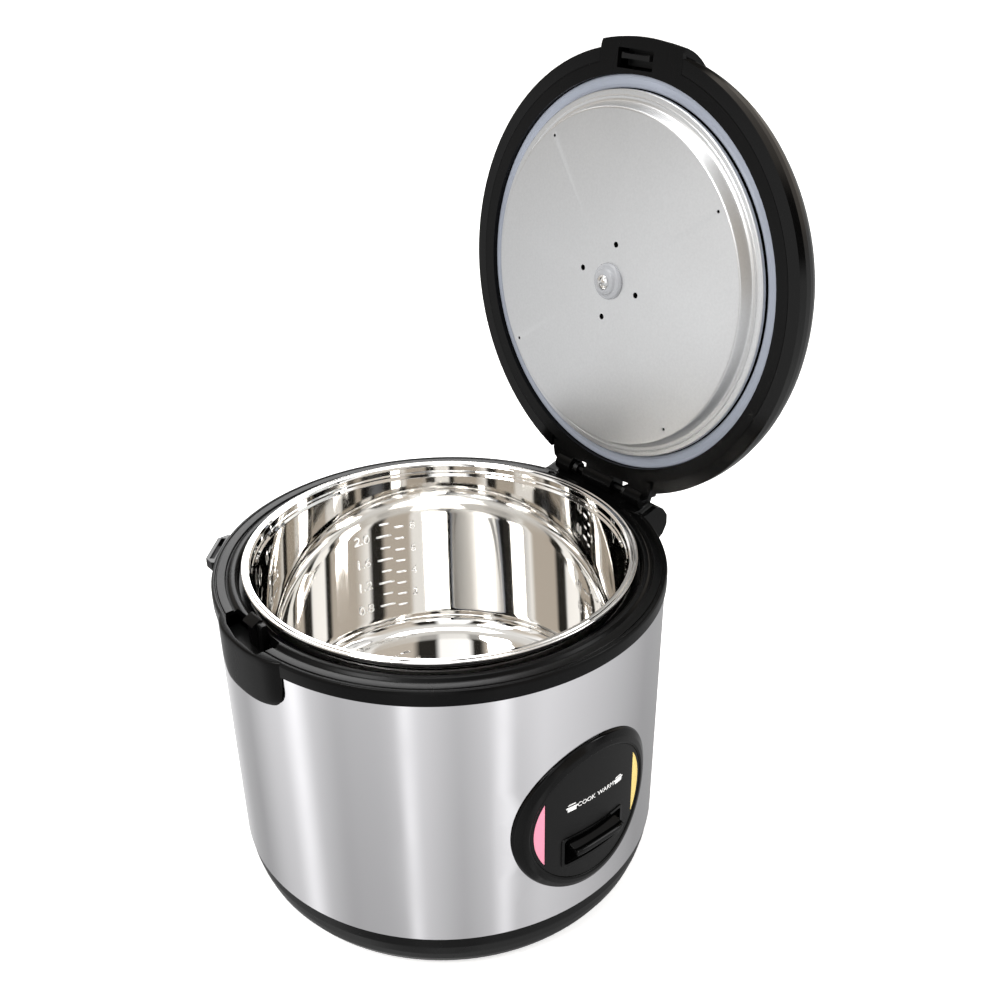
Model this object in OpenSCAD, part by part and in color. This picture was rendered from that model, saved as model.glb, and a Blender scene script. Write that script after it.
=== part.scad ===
// Jar rice cooker with a hinged lid, shown with the lid open.
// Frame: +Z up, origin on the surface under the centre of the body.
// The control panel faces -Y, the lid latch is at -X and the lid hinge at +X.

/* [Body] */
// Outer radius of the steel shell at its bottom edge
shell_r_bot = 135.4; // [134.8:0.1:136]
// Outer radius of the steel shell at its top edge
shell_r_top = 137.0; // [136.6:0.1:137.4]
// Height of the steel shell's bottom edge
shell_z0 = 20; // [19:0.5:22]
// Height of the steel shell's top edge
shell_z1 = 191; // [190:0.5:192]
// Thickness of the steel shell
shell_t = 0.8; // [0.6:0.1:1]
// Outer radius of the top ring
ring_r = 138; // [137.8:0.1:138.6]
// Height of the top ring's upper face
ring_z = 200.5; // [200:0.1:201]

/* [Pot] */
// Outer radius of the pot's rim
pot_rim_r = 119.9; // [119.5:0.1:120]
// Height of the pot's rim
pot_top_z = 206; // [205.6:0.1:206.1]
// Height of the pot's underside, on the heating plate
pot_z0 = 72; // [72:1:72]
// Wall thickness of the pot
pot_t = 1.2; // [1:0.1:1.4]

/* [Lid] */
// Angle the lid stands open, from closed
lid_open = 95; // [0:1:95]
// Radius at which the hinge pin lies, from the body's axis
hinge_x = 137.3; // [137:0.1:137.6]
// Height of the hinge pin
hinge_z = 206.4; // [206.2:0.1:206.6]
// Height of the lid's rim face when closed
lid_z = 203.2; // [203:0.1:203.4]
// Outer radius of the lid
lid_r = 137.6; // [137:0.1:138]
// Height of the dome above the rim face
lid_h = 56; // [50:1:58]
// Radius of the inner plate
plate_r = 113; // [112.6:0.1:113.1]

/* [Panel] */
// Outer radius of the panel's bezel
bezel_r = 52.3; // [51:0.1:53]
// Radius of the panel's flat face
face_r = 43.4; // [43:0.1:43.8]
// Height of the panel's centre
panel_z = 91; // [90:0.5:92]
// Outer radius of the panel's curved face, from the body's axis
panel_r = 139.6; // [139.2:0.1:140]
// Width of the lever's window
slot_w = 45; // [43:1:46]
// Height of the lever's window
slot_h = 18.5; // [17.5:0.5:19]

/* [Hidden] */
$fn = 96;

eps = 0.05;

// Heights below are drawn from a datum this far above the surface the cooker stands on
lift = 12;
base_z = -9;
black = [0.07, 0.07, 0.08];
steel = [0.78, 0.79, 0.80];

// Latch bulge, shared by the ring and the lid
bulge_r = 142.4;
bulge_w = 66;
bulge_corner = 11;
skirt_z = 168;
latch_y = 4;

// Hinge layout along Y, half widths
barrel_r = 6.5;
barrel_in = 26;
barrel_out = 39.5;
barrel_mid = 13.2;
knuckle_in = 13.8;
knuckle_out = 20;
pin_r = 2.5;
pin_half = 39.3;
housing_half = 47.5;
housing_gap = 41;

// Liner and heating plate
liner_r = 116;
liner_t = 0.8;
liner_z0 = 50;
liner_z1 = 194;
plate_z0 = 58;
element_r = 45;
element_tube = 4;

// Lever pivot and link
lever_y = -128;
lever_z = 76.5;
window_z = -19.2;

// Feet and legs
foot_r = 108;
foot_angles = [45, 135, 225, 315];
leg_r = 104;
leg_angles = [90, 210, 330];

function shell_r(z) = shell_r_bot + (shell_r_top - shell_r_bot) * (z - shell_z0) / (shell_z1 - shell_z0);
function arc(cx, cy, r, a0, a1, n = 8) =
  [for (i = [0:n]) let (a = a0 + (a1 - a0) * i / n) [cx + r * cos(a), cy + r * sin(a)]];
function super(r, h, p, n = 22) =
  [for (i = [0:n]) let (a = 90 * i / n) [r * pow(cos(a), 2 / p), h * pow(sin(a), 2 / p)]];

module ring_solid(points) { rotate_extrude($fn = 240) polygon(points); }

module disc(r, h) { cylinder(r = r, h = h, $fn = r > 40 ? 240 : 64); }

module tube(r_out, r_in, h) {
  difference() {
    disc(r_out, h);
    translate([0, 0, -1]) disc(r_in, h + 2);
  }
}

// Children moved from the drawing datum to the surface the cooker stands on
module up() { translate([0, 0, lift]) children(); }

// Children drawn as if the lid were closed, turned open about the hinge pin
module opened() {
  translate([hinge_x, 0, hinge_z]) rotate([0, lid_open, 0]) translate([-hinge_x, 0, -hinge_z]) children();
}

// Children drawn along +Z, laid along -Y from the panel's centre
module at_panel() { translate([0, 0, panel_z]) rotate([90, 0, 0]) children(); }

// Children drawn along +Z, laid along Y on the hinge axis
module on_hinge(y0) { translate([hinge_x, y0, hinge_z]) rotate([-90, 0, 0]) children(); }

// A tube swept along points, closed at both ends
function unit(v) = v / norm(v);
function heading(p, i) = let (n = len(p) - 1) unit(p[min(i + 1, n)] - p[max(i - 1, 0)]);
function side(t) = unit(cross(t, abs(t[2]) < 0.9 ? [0, 0, 1] : [1, 0, 0]));
module swept(p, r, n = 8) {
  m = len(p);
  pts = [for (i = [0:m - 1], k = [0:n - 1])
    let (t = heading(p, i), s = side(t), u = cross(t, s), a = 360 * k / n)
    p[i] + r * (cos(a) * s + sin(a) * u)];
  skin = [for (i = [0:m - 2], k = [0:n - 1]) let (j = (k + 1) % n)
    [i * n + k, (i + 1) * n + k, (i + 1) * n + j, i * n + j]];
  caps = [[for (k = [0:n - 1]) k], [for (k = [0:n - 1]) m * n - 1 - k]];
  polyhedron(points = pts, faces = concat(caps, skin), convexity = 10);
}

// A helical wire round the Z axis
module coil(r, wire, pitch, turns, steps = 14) {
  p = [for (i = [0:turns * steps]) let (a = 360 * i / steps)
    [r * cos(a), r * sin(a), pitch * i / steps]];
  swept(p, wire, 6);
}

// Plan outline of the latch bulge, grown by d
module bulge_plan(d = 0) {
  intersection() {
    circle(r = bulge_r + d);
    union() {
      translate([-bulge_r - 4, -bulge_w / 2 + bulge_corner - d])
        square([40, bulge_w - 2 * bulge_corner + 2 * d]);
      translate([-bulge_r + bulge_corner - 2.2, -bulge_w / 2 - d]) square([36, bulge_w + 2 * d]);
      for (s = [-1, 1])
        translate([-bulge_r + bulge_corner - 2.2, s * (bulge_w / 2 - bulge_corner)])
          circle(r = bulge_corner + d);
    }
  }
}

/* ---------- base ---------- */

module base_pan() {
  color(black) up() difference() {
    union() {
      ring_solid(concat(
        [[0, base_z], [122.6, base_z]], arc(122.6, base_z + 5, 5, -90, -30, 5),
        [[130.2, -1.2], [132.4, 5], [134.1, 12], [shell_r_bot - 0.6, shell_z0 - 0.6]],
        [[shell_r_bot - 0.4, shell_z0], [133.6, shell_z0], [133.6, 27], [131.4, 27], [131.4, 13]],
        [[129.8, 5], [127.6, -1], [124.6, base_z + 3.6], [122.6, base_z + 2.6], [0, base_z + 2.6]]));
      for (a = leg_angles) rotate(a) translate([leg_r, 0, base_z + 1]) cylinder(r = 6.5, h = 13 - base_z);
    }
    for (a = leg_angles) rotate(a) translate([leg_r, 0, -20]) {
      cylinder(r = 2.2, h = 40);
      cylinder(r = 4.6, h = 28);
    }
    for (a = foot_angles) rotate(a) translate([foot_r, 0, -lift]) cylinder(r = 3.1, h = 9);
    for (a = [0:30:330]) rotate(a) translate([40, -1.5, -lift]) cube([34, 3, 9]);
  }
}

module rubber_feet() {
  color([0.12, 0.12, 0.12]) up() for (a = foot_angles) rotate(a) translate([foot_r, 0, -lift])
    ring_solid([[0, 0], [8, 0], [9.2, 1.2], [9.2, 3], [3, 3], [3, 5.6], [4.4, 5.6], [3, 8], [0, 8]]);
}

module base_screws() {
  color(steel) up() for (a = leg_angles) rotate(a) translate([leg_r, 0, 0]) difference() {
    ring_solid(concat([[0, 5.4]], arc(0, 8, 4.2, -38, 0, 4), [[4.2, 8], [2, 8], [2, 19], [0, 19]]));
    for (r = [0, 90]) rotate(r) translate([-2.4, -0.5, 4]) cube([4.8, 1, 2.6]);
  }
}

// Sheet-metal legs that carry the liner on the base
module support_legs() {
  color([0.7, 0.7, 0.68]) up() for (a = leg_angles) rotate(a) difference() {
    union() {
      translate([leg_r - 9, -9, 14]) cube([18, 18, 1.4]);
      translate([leg_r - 9, -9, 14]) cube([1.4, 18, liner_z0 - 14]);
      translate([leg_r - 9, -9, liner_z0 - 1.4]) cube([18, 18, 1.4]);
    }
    translate([leg_r, 0, 10]) cylinder(r = 2.05, h = 10);
  }
}

/* ---------- body ---------- */

module steel_shell() {
  color(steel) up() difference() {
    translate([0, 0, shell_z0])
      cylinder(r1 = shell_r_bot, r2 = shell_r_top, h = shell_z1 - shell_z0, $fn = 240);
    translate([0, 0, shell_z0 - eps])
      cylinder(r1 = shell_r_bot - shell_t, r2 = shell_r_top - shell_t, h = shell_z1 - shell_z0 + 2 * eps, $fn = 240);
    at_panel() translate([0, 0, 100]) cylinder(r = bezel_r - 0.7, h = 60);
    translate([110, -21.2, 27.1]) cube([40, 42.4, 22.4]);
  }
}

// Section of the moulded ring round the pot's mouth
ring_profile = concat(
  [[117.6, 194.2], [117.6, 196.4], [122, 196.4], [122, 199.8]],
  arc(125.2, 198.2, 3.1, 150, 30, 8),
  [[128.6, 199.4], [129.4, 199.4], [129.8, ring_z], [ring_r - 3.2, ring_z], [ring_r - 3, ring_z - 0.5],
   [ring_r - 2.6, ring_z - 0.5], [ring_r - 2.4, ring_z]],
  arc(ring_r - 1.2, ring_z - 1.2, 1.2, 90, 0, 5),
  [[ring_r, shell_z1 + 0.3], [ring_r - 0.4, shell_z1], [135.4, shell_z1], [135.4, 179], [132.8, 179],
   [132.8, 197.4], [124.4, 197.4], [124.4, 194.2]]);

module skirt_block() {
  difference() {
    union() {
      translate([0, 0, skirt_z + 12]) linear_extrude(ring_z - skirt_z - 12) bulge_plan();
      intersection() {
        translate([0, 0, skirt_z]) linear_extrude(20) bulge_plan();
        rotate([0, -90, 0]) translate([0, 0, 120]) union() {
          translate([skirt_z, -bulge_w / 2 + 12]) cube([20, bulge_w - 24, 40]);
          for (s = [-1, 1]) translate([skirt_z + 12, s * (bulge_w / 2 - 12), 0]) cylinder(r = 12, h = 40);
        }
      }
    }
    translate([0, 0, 120]) disc(shell_r_top + 0.15, shell_z1 - 120 + eps);
    translate([0, 0, 150]) disc(ring_r - 1.5, 60);
  }
}

module latch_pocket() {
  translate([-139.2, -18, 190]) cube([15.9, 30, 30]);
  translate([-133.7, 11, 190]) cube([10.4, 16, 30]);
}

module hinge_housing() {
  difference() {
    union() {
      translate([118, -housing_half, 181]) cube([20, 2 * housing_half, 19.4]);
      intersection() {
        translate([125, -housing_half, 176]) cube([27, 2 * housing_half, 26.6]);
        translate([hinge_x + 0.5, 0, 190]) rotate([90, 0, 0]) cylinder(r = 13.4, h = 100, center = true);
      }
    }
    translate([0, 0, 150]) disc(shell_r(181) + 0.3, shell_z1 - 150);
    on_hinge(-housing_gap) cylinder(r = 12.6, h = 2 * housing_gap);
    translate([0, 0, 170]) disc(132.9, 27.4);
  }
}

module top_ring() {
  color(black) up() difference() {
    union() {
      difference() {
        union() {
          ring_solid(ring_profile);
          skirt_block();
          hinge_housing();
          // Floor and walls of the latch pocket
          intersection() {
            translate([-140, -21, 186.5]) cube([20, 50, 12]);
            tube_z(135.1, 122.3, 180, 18.5);
          }
        }
        latch_pocket();
        on_hinge(-housing_gap) cylinder(r = 12.6, h = 2 * housing_gap);
      }
      for (s = [-1, 1]) ring_knuckle(s);
    }
    on_hinge(-pin_half - 1) cylinder(r = pin_r + 0.02, h = 2 * pin_half + 2);
    for (y = [-32, 32]) translate([146, y, 170]) cylinder(r = 1.7, h = 20);
    translate([0, 0, 150]) disc(liner_r + 1.6, 44.1);
  }
}

module tube_z(r_out, r_in, z, h) { translate([0, 0, z]) tube(r_out, r_in, h); }

// One of the two knuckles that carry the hinge pin
module ring_knuckle(s) {
  y0 = s > 0 ? knuckle_in : -knuckle_out;
  w = knuckle_out - knuckle_in;
  on_hinge(y0) cylinder(r = barrel_r - 0.3, h = w);
  translate([hinge_x - barrel_r + 0.3, y0, shell_z1 + 0.2]) cube([2 * barrel_r - 0.6, w, hinge_z - shell_z1]);
}

// Clip-on loop that holds the rice scoop
module scoop_loop() {
  color(black) up() rotate(134.5) difference() {
    translate([134, -17, 193.2]) cube([9.8, 34, 6]);
    translate([138.4, -12.5, 190]) cube([3.1, 25, 14]);
    for (s = [-1, 1]) translate([143.8, s * 17, 190]) rotate(45) translate([-3.4, -3.4, 0]) cube([6.8, 6.8, 14]);
    translate([0, 0, 150]) disc(ring_r + 0.05, 60);
  }
}

// Fixed hook that the lid's catch bar snaps under
module latch_hook() {
  color(black) up() {
    translate([0, latch_y + 5.2, 0]) rotate([90, 0, 0]) linear_extrude(10.4) polygon([
      [-124.2, 190], [-124.2, 208.4], [-125.4, 209.1], [-131.4, 206.2], [-131.4, 205.6], [-128.8, 205.4],
      [-128.8, 190]]);
    translate([-128.6, latch_y - 10.5, 190]) cube([4, 5, 17.6]);
    translate([-127.4, latch_y - 6, 190]) cube([2.4, 2, 12]);
  }
}

/* ---------- heating ---------- */

module inner_liner() {
  color([0.72, 0.73, 0.72]) up() difference() {
    ring_solid([
      [60, liner_z0], [liner_r + liner_t, liner_z0], [liner_r + liner_t, liner_z1 - liner_t],
      [121.2, liner_z1 - liner_t], [121.2, liner_z1], [liner_r, liner_z1], [liner_r, liner_z0 + liner_t],
      [60, liner_z0 + liner_t]]);
    for (a = [60, 180, 300]) rotate(a) translate([82, 0, 40]) cylinder(r = 2.3, h = 20);
  }
}

module warm_heater_band() {
  color([0.55, 0.42, 0.2]) up() difference() {
    tube_z(liner_r + liner_t + 1.9, liner_r + liner_t + 0.15, 112, 34);
    translate([0, -140, 100]) cube([6, 30, 60]);
  }
}

module heating_plate() {
  color([0.75, 0.75, 0.76]) up() difference() {
    ring_solid(concat(
      [[17.5, plate_z0], [100, plate_z0]], arc(100, plate_z0 + 4, 4, -90, 0, 4),
      arc(97, 65, 7, 0, 90, 6), [[17.5, pot_z0]]));
    translate([0, 0, plate_z0]) rotate_extrude() translate([element_r, 0]) circle(r = element_tube + 0.12);
    for (a = [60, 180, 300]) rotate(a) translate([82, 0, plate_z0 - 1]) cylinder(r = 2.1, h = 9);
  }
}

// Sheathed element in the plate's underside, with its two turned-down ends
module heating_element() {
  color([0.35, 0.35, 0.36]) up() difference() {
    union() {
      translate([0, 0, plate_z0]) rotate(16) rotate_extrude(angle = 328)
        translate([element_r, 0]) circle(r = element_tube);
      for (a = [-16, 16]) rotate(a) translate([element_r, 0, 36]) cylinder(r = 1.8, h = 16);
      for (a = [-16, 16]) rotate(a) translate([element_r, 0, 44]) cylinder(r = element_tube, h = plate_z0 - 44);
    }
    translate([0, 0, plate_z0 + element_tube + 0.3]) cylinder(r = 60, h = 5);
  }
}

// Spacers and their screws between the plate and the liner's floor
module plate_spacers() {
  color(steel) up() for (a = [60, 180, 300]) rotate(a) translate([82, 0, 0]) {
    translate([0, 0, liner_z0 + liner_t]) cylinder(r = 5, h = plate_z0 - liner_z0 - liner_t);
    translate([0, 0, liner_z0 - 3]) cylinder(r = 2, h = 17.5);
    translate([0, 0, liner_z0 - 3]) cylinder(r = 4, h = 3, $fn = 6);
  }
}

/* ---------- thermostat ---------- */

module sensor_sleeve() {
  color([0.7, 0.68, 0.6]) up() {
    tube_z(9.6, 8.3, 34.4, 20.6);
    difference() {
      tube_z(64, 8.3, 48.6, 1.4);
      for (a = [-16, 16]) rotate(a) translate([element_r, 0, 40]) cylinder(r = 5.5, h = 20);
    }
  }
}

module sensor_cap() {
  color([0.8, 0.8, 0.8]) up() {
    ring_solid([[0, 47.3], [7.9, 47.3], [7.9, 66.4], [16.8, 66.4], [16.8, 71.2], [16, 71.9], [0, 71.9]]);
  }
}

module sensor_spring() { color(steel) up() translate([0, 0, 50.8]) coil(12.2, 0.75, 3, 4.9); }

module cook_magnet() {
  color([0.25, 0.25, 0.27]) up() ring_solid([
    [0, 28.5], [2, 28.5], [2, 34], [7.9, 34], [7.9, 42], [0, 42]]);
}

module magnet_bar() {
  color([0.75, 0.75, 0.74]) up() difference() {
    union() {
      translate([-6, -100, 27]) cube([12, 108, 1.5]);
      translate([-3.5, -106, 27]) cube([7, 10, 1.5]);
      translate([6, -30, 27]) cube([8, 8, 1.5]);
    }
    for (y = [-30:-15:-90]) translate([0, y, 20]) cylinder(r = 2.4, h = 12);
  }
}

module microswitch() {
  color([0.15, 0.15, 0.16]) up() {
    translate([16, -36, base_z + 2.6]) cube([10, 22, 18.4 - base_z]);
    translate([7.5, -30, 18]) cube([8.5, 8, 1.2]);
    for (y = [-32, -25, -18]) translate([19, y, 21]) cube([0.8, 3, 5]);
  }
}

module thermal_fuse() {
  color([0.85, 0.82, 0.7]) up() translate([0, 50, 45.5]) rotate([0, 90, 0]) {
    translate([0, 0, -10]) cylinder(r = 3.1, h = 20);
    translate([0, 0, -18]) cylinder(r = 0.8, h = 36);
  }
}

module terminal_block() {
  color([0.9, 0.88, 0.82]) up() translate([52, 30, base_z + 2.6]) difference() {
    cube([20, 32, 15 - base_z]);
    for (y = [5, 16, 27]) translate([10, y, 8 - base_z]) cylinder(r = 2.2, h = 10);
  }
}

// Points of an internal lead, eased between hand-placed bends
function eased(p, n = 5) = concat([for (i = [1:len(p) - 2], k = [0:n - 1])
  let (t = k / n, a = (p[i - 1] + p[i]) / 2, b = p[i], c = (p[i] + p[i + 1]) / 2)
  (1 - t) * (1 - t) * a + 2 * t * (1 - t) * b + t * t * c], [(p[len(p) - 2] + p[len(p) - 1]) / 2]);
wire_routes = [
  [[113, -7, 35.5], [104, -7, 35.5], [92, 6, 30], [84, 34, 26], [62, 35, 30], [62, 35, 0]],
  [[113, 7, 35.5], [104, 7, 35.5], [96, 34, 34], [84, 50, 28], [62, 46, 30], [62, 46, 0]],
  [[113, 0, 41.5], [104, 0, 41.5], [92, 24, 42], [80, 64, 38], [62, 57, 32], [62, 57, -2]]];
module lead_wires() {
  color([0.6, 0.1, 0.1]) up() for (w = wire_routes) swept(eased(w), 1.4);
}

/* ---------- inlet ---------- */

module inlet_socket() {
  color(black) up() difference() {
    union() {
      translate([112, -21, 27.3]) cube([25, 42, 22]);
      intersection() {
        translate([132, -25, 24]) cube([7, 50, 28.6]);
        tube_z(139, shell_r(64) + 0.05, 20, 50);
      }
    }
    translate([118, -13.5, 30.3]) cube([30, 27, 16]);
    for (y = [-7, 0, 7]) translate([100, y - 1.05, y == 0 ? 39.4 : 33.4]) cube([30, 2.1, 4.2]);
  }
}

module inlet_pins() {
  color([0.75, 0.72, 0.6]) up() for (y = [-7, 0, 7])
    translate([109, y - 1, y == 0 ? 39.5 : 33.5]) cube([22, 2, 4]);
}

/* ---------- panel ---------- */

// Bezel blended from the flat face's round edge to the curved shell
module panel_bezel() {
  n = 96;
  function out(rad, r, a) = -sqrt(rad * rad - pow(r * cos(a), 2));
  function station(a) = let (c = cos(a), s = sin(a), f = face_r, b = bezel_r) [
    [42.2 * c, out(133.6, 42.2, a), 42.2 * s], [42.2 * c, out(136.4, 42.2, a), 42.2 * s],
    [f * c, out(136.4, f, a), f * s], [f * c, out(panel_r + 0.2, f, a), f * s],
    [(f + 0.8) * c, out(panel_r + 0.5, f + 0.8, a), (f + 0.8) * s],
    [(f + 4) * c, out(panel_r - 0.2, f + 4, a), (f + 4) * s],
    [(b - 1) * c, out(137.7, b - 1, a), (b - 1) * s], [b * c, out(137.1, b, a), b * s],
    [b * c, out(136.8, b, a), b * s], [(b - 1) * c, out(136.8, b - 1, a), (b - 1) * s],
    [(b - 1) * c, out(133.6, b - 1, a), (b - 1) * s]];
  m = len(station(0));
  pts = [for (i = [0:n - 1]) for (q = station(360 * i / n)) q + [0, 0, panel_z]];
  faces = [for (i = [0:n - 1], k = [0:m - 1]) let (i2 = (i + 1) % n, k2 = (k + 1) % m)
    [i * m + k, i * m + k2, i2 * m + k2, i2 * m + k]];
  color(black) up() polyhedron(points = pts, faces = faces, convexity = 10);
}

module lens_plan(s, d = 0) {
  intersection() {
    circle(r = 41.4 - d);
    translate([s > 0 ? 34.6 + d : -54.6 - d, -30]) square([20, 60]);
  }
}

module panel_face() {
  color([0.2, 0.2, 0.21]) up() difference() {
    union() {
      intersection() {
        at_panel() translate([0, 0, 100]) cylinder(r = face_r - 0.15, h = 60);
        tube_z(panel_r, 136.6, 0, 200);
      }
      // Box behind the window that the lever moves in
      at_panel() translate([-slot_w / 2 - 1.6, window_z - slot_h / 2 - 1.6, 121.6])
        cube([slot_w + 3.2, slot_h + 3.2, 14.4]);
    }
    at_panel() {
      translate([-slot_w / 2, window_z - slot_h / 2, 123]) cube([slot_w, slot_h, 30]);
      translate([-6, window_z - slot_h / 2 - 3, 119]) cube([12, slot_h / 2 + 8, 12.5]);
      for (s = [-1, 1]) translate([0, 0, 120]) linear_extrude(30) lens_plan(s);
    }
    translate([-slot_w, lever_y, lever_z]) rotate([0, 90, 0]) cylinder(r = 1.53, h = 2 * slot_w);
  }
}

module lens(s) {
  intersection() {
    at_panel() translate([0, 0, 120]) linear_extrude(30) lens_plan(s, 0.1);
    tube_z(panel_r - 0.2, 136.8, 0, 200);
  }
}
module cook_lens() { color([0.93, 0.6, 0.68]) up() lens(-1); }
module warm_lens() { color([0.95, 0.85, 0.55]) up() lens(1); }

module indicator_lamps() {
  color([0.9, 0.5, 0.3]) up() for (x = [-37.5, 37.5]) translate([x, -121.2, panel_z]) rotate([90, 0, 0]) {
    cylinder(r = 2.6, h = 7);
    translate([0, 0, 7]) sphere(r = 2.6);
    translate([0, 0, -2]) cylinder(r = 3.4, h = 4);
  }
}

module cook_lever() {
  w = 37;
  color(black) up() difference() {
    union() {
      translate([-w / 2, lever_y, lever_z]) rotate([90, 0, 90]) linear_extrude(w) polygon(concat(
        arc(0, 0, 3.4, 85, -100, 10), [[-8, -4]], arc(-16.6, -1.6, 1.8, -110, -250, 7), [[-9, 3.2]]));
    }
    translate([-w, lever_y, lever_z]) rotate([0, 90, 0]) cylinder(r = 1.55, h = 2 * w);
    translate([-4.3, lever_y - 5, lever_z - 6]) cube([8.6, 20, 12]);
  }
}

module lever_link() {
  color([0.75, 0.75, 0.74]) up() difference() {
    union() {
      translate([-4, lever_y, lever_z]) rotate([0, 90, 0]) cylinder(r = 3.4, h = 8);
      translate([-4, lever_y + 1.6, 24]) cube([8, 1.6, lever_z - 24]);
      translate([-4, lever_y + 1.6, 23]) cube([8, 22.4, 1.6]);
      translate([-4, -104, 24]) rotate([0, 90, 0]) cylinder(r = 1.6, h = 8);
    }
    translate([-40, lever_y, lever_z]) rotate([0, 90, 0]) cylinder(r = 1.55, h = 80);
  }
}

module lever_pin() {
  color(steel) up() translate([-slot_w / 2 - 1.4, lever_y, lever_z]) rotate([0, 90, 0]) cylinder(r = 1.5, h = slot_w + 2.8);
}

/* ---------- hinge ---------- */

module hinge_pin() { color(steel) up() on_hinge(-pin_half) cylinder(r = pin_r, h = 2 * pin_half); }

module hinge_springs() {
  color(steel) up() for (y = [20.9, -25.3]) on_hinge(y) coil(4, 0.55, 1.25, 3.5);
}

module hinge_screws() {
  color(steel) up() for (y = [-32, 32]) translate([146, y, 0]) {
    translate([0, 0, 173.6]) cylinder(r = 3, h = 2.4);
    translate([0, 0, 176]) cylinder(r = 1.6, h = 10);
  }
}

/* ---------- lid, drawn closed ---------- */

// Room left in the cover and frame for the hinge
module hinge_room() {
  translate([118, -housing_half - 0.6, lid_z - 2]) cube([30, 2 * housing_half + 1.2, 12.2]);
}

module dome(d = 0) {
  translate([0, 0, lid_z]) ring_solid(concat([[0, 0]], super(lid_r - d, lid_h - d, 2.4)));
}

// Raised housing over the latch, one step proud of the dome
module latch_house(d = 0) {
  intersection() {
    translate([0, 0, lid_z]) ring_solid(concat([[0, 0]], super(bulge_r - d - 0.6, lid_h + 4.6 - d, 2.4)));
    translate([-150, -27 + d + latch_y / 2, lid_z]) cube([58 - d, 54 - 2 * d, 80]);
  }
}

module lid_cover() {
  color(black) up() opened() difference() {
    union() { dome(); latch_house(); }
    difference() {
      union() { dome(2.6); latch_house(2.6); }
      tube_z(140, 129.7, lid_z - 1, 3.2);
      translate([44, 0, 250.2]) cylinder(r = 20.6, h = 20);
    }
    translate([44, 0, 252.4]) cylinder(r = 18.5, h = 20);
    translate([0, 0, lid_z - 1]) disc(129.7, 4);
    translate([0, 0, lid_z - 1]) linear_extrude(4) bulge_plan(0.02);
    hinge_room();
    translate([44, 0, 200]) cylinder(r = 15.4, h = 80);
    button_room();
  }
}

module button_room() {
  translate([-115, latch_y / 2, lid_z + 12]) linear_extrude(60) square([21, 37], center = true);
}

module lid_frame() {
  color(black) up() opened() difference() {
    union() {
      // Rim, wall and ceiling round the inner plate
      ring_solid([
        [121.5, lid_z], [129.4, lid_z], [129.4, lid_z + 2.8], [123.8, lid_z + 2.8], [123.8, 212], [0, 212],
        [0, 209.6], [121.5, 209.6]]);
      // Face of the latch bump
      difference() {
        translate([0, 0, lid_z]) linear_extrude(2.7) bulge_plan(-0.15);
        translate([0, 0, lid_z - 1]) disc(127, 6);
      }
      // Arm and barrels of the hinge
      translate([0, 0, lid_z]) linear_extrude(7.6) polygon([
        [123, -46], [129, -46], [134, -44.5], [hinge_x, -barrel_out], [hinge_x, barrel_out], [134, 44.5],
        [129, 46], [123, 46]]);
      on_hinge(barrel_in) cylinder(r = barrel_r, h = barrel_out - barrel_in);
      on_hinge(-barrel_out) cylinder(r = barrel_r, h = barrel_out - barrel_in);
      on_hinge(-barrel_mid) cylinder(r = barrel_r, h = 2 * barrel_mid);
      // Post for the inner plate, and the steam port
      translate([0, 0, 195.4]) cylinder(r = 8, h = 15);
      translate([44, 0, 211]) cylinder(r = 11, h = 6);
    }
    on_hinge(-60) cylinder(r = pin_r + 0.05, h = 120);
    for (s = [-1, 1]) translate([129.6, s > 0 ? barrel_mid : -barrel_in, lid_z - 1])
      cube([20, barrel_in - barrel_mid, 20]);
    translate([-135.2, latch_y - 14.2, lid_z - 1]) cube([11.4, 28.4, 12]);
    translate([44, 0, 200]) cylinder(r = 8.6, h = 20);
    for (a = [45:90:315]) rotate(a) translate([108, 0, 200]) cylinder(r = 1.7, h = 20);
    translate([0, 0, 190]) cylinder(r = 2, h = 18);
  }
}

module lid_gasket() {
  color([0.55, 0.57, 0.6]) up() opened() ring_solid([
    [113.4, 209.5], [113.4, 206.7], [114.4, 206.4], [116, 206.9], [118.6, 206.9], [120.2, 206.4],
    [121.4, 206.8], [121.4, 209.5]]);
}

module inner_plate() {
  t = 0.8;
  f = lid_z - 0.8;
  b = f - 7.8;
  color([0.85, 0.85, 0.84]) up() opened() difference() {
    ring_solid(concat(
      [[0, b]], [[102.2, b]], arc(102.2, b + 1.8, 1.8, -90, -20, 4), arc(107.4, f - 1.6, 1.6, 160, 90, 4),
      [[109, f], [109.4, f - 0.3], [110, f]], [[plate_r, f], [plate_r, f + 2.6], [plate_r - t, f + 2.6],
      [plate_r - t, f + t]], [[107.2, f + t]], arc(107.4, f - 1.6, 2.4, 90, 160, 4),
      arc(102.2, b + 1.8, 1, -20, -90, 4), [[0, b + t]]));
    for (k = [0:3]) rotate(143.6 + 90 * k) translate([98.2, 0, b - 1]) cylinder(r = 1, h = 4);
    for (k = [0:3]) rotate(98 + 90 * k) translate([23.7, 0, b - 1]) cylinder(r = 1.85, h = 4);
    translate([0, 0, b - 1]) cylinder(r = 6.2, h = 4);
  }
}

module plate_grommet() {
  b = lid_z - 8.6;
  color([0.85, 0.87, 0.88, 0.7]) up() opened() difference() {
    ring_solid(concat(
      [[2.3, b + 0.8], [2.3, b - 5.2]], [[7, b - 5.2]], arc(7, b - 4.2, 1, -90, 0, 4), [[8.2, b - 3]],
      [[10, b - 2.8]], arc(10, b - 1.4, 1.4, -90, 0, 4), [[11.4, b], [6, b], [6, b + 0.8]]));
  }
}

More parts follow.
